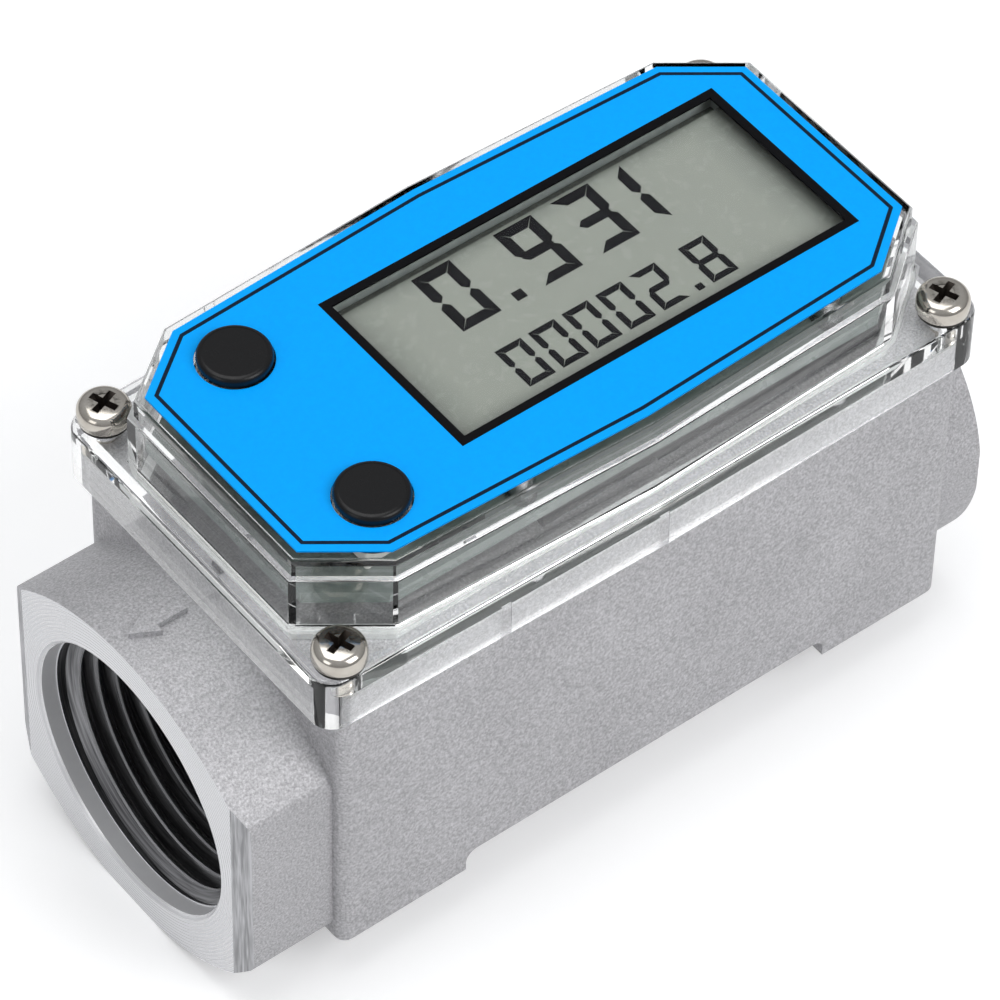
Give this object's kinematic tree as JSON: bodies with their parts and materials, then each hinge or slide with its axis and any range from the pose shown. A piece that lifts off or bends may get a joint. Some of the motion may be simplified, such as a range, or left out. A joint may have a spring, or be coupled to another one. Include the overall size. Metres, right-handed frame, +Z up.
{
  "type": "turbine flow meter",
  "caption": "In-line turbine flow meter: cast body with threaded ends, clear screwed cover, digital display, two push buttons and a helical turbine on a fixed shaft.",
  "frame": {"origin": "on the base, below the middle of the overall length", "axes": "+X from outlet to inlet along the bore, +Z up through the display"},
  "size_m": [0.1032, 0.0488, 0.0636],
  "materials": {
    "cast_body": "sand-blasted casting with machined end faces",
    "clear_plastic": "clear moulded polycarbonate",
    "blue_label": "printed overlay film",
    "black_rubber": "moulded rubber, smooth",
    "seal_rubber": "dark gasket",
    "nickel_screw": "nickel-plated steel",
    "dark_washer": "dark plated ring",
    "display_glass": "grey reflective liquid crystal panel",
    "holder_plastic": "grey moulded plastic",
    "zebra_rubber": "conductive rubber strip",
    "board_laminate": "green glass laminate",
    "chip_epoxy": "moulded epoxy",
    "can_metal": "drawn can",
    "steel": "plain steel",
    "switch_plastic": "moulded switch",
    "tray_plastic": "moulded tray",
    "cell_jacket": "plain jacket",
    "copper_coil": "enamelled wire",
    "core_steel": "soft iron",
    "rotor_plastic": "moulded acetal",
    "bearing_carbon": "carbon sleeve",
    "support_plastic": "moulded nylon"
  },
  "bodies": {
    "meter": {"meter_body": "cast_body", "display_cover": "clear_plastic", "face_label": "blue_label", "cover_gasket": "seal_rubber", "cover_screws": "nickel_screw", "cover_washers": "dark_washer", "lcd_panel": "display_glass", "lcd_holder": "holder_plastic", "zebra_strips": "zebra_rubber", "circuit_board": "board_laminate", "controller_chip": "chip_epoxy", "board_capacitor": "can_metal", "board_screws": "steel", "display_switch": "can_metal", "calibrate_switch": "can_metal", "battery_tray": "tray_plastic", "battery_cells": "cell_jacket", "battery_contacts": "steel", "pickup_coil": "copper_coil", "coil_core": "core_steel", "rotor_shaft": "steel", "thrust_washers": "steel", "downstream_support": "support_plastic", "upstream_support": "support_plastic", "retaining_rings": "steel"},
    "turbine": {"rotor": "rotor_plastic", "rotor_bearing": "bearing_carbon", "rotor_rods": "core_steel"},
    "display_key": {"display_button": "black_rubber", "display_plunger": "switch_plastic"},
    "calibrate_key": {"calibrate_button": "black_rubber", "calibrate_plunger": "switch_plastic"}
  },
  "joints": [
    {"name": "rotor_spin", "type": "hinge", "parent": "meter", "child": "turbine", "pos_m": [-0.0095, 0, 0.0209], "axis": [1, 0, 0], "continuous": true},
    {"name": "display_press", "type": "slide", "parent": "meter", "child": "display_key", "axis": [0, 0, -1], "range_m": [0, 0.0006], "stiffness_N_per_m": 1500, "springref_m": -0.0004},
    {"name": "calibrate_press", "type": "slide", "parent": "meter", "child": "calibrate_key", "axis": [0, 0, -1], "range_m": [0, 0.0006], "stiffness_N_per_m": 1500, "springref_m": -0.0004}
  ]
}
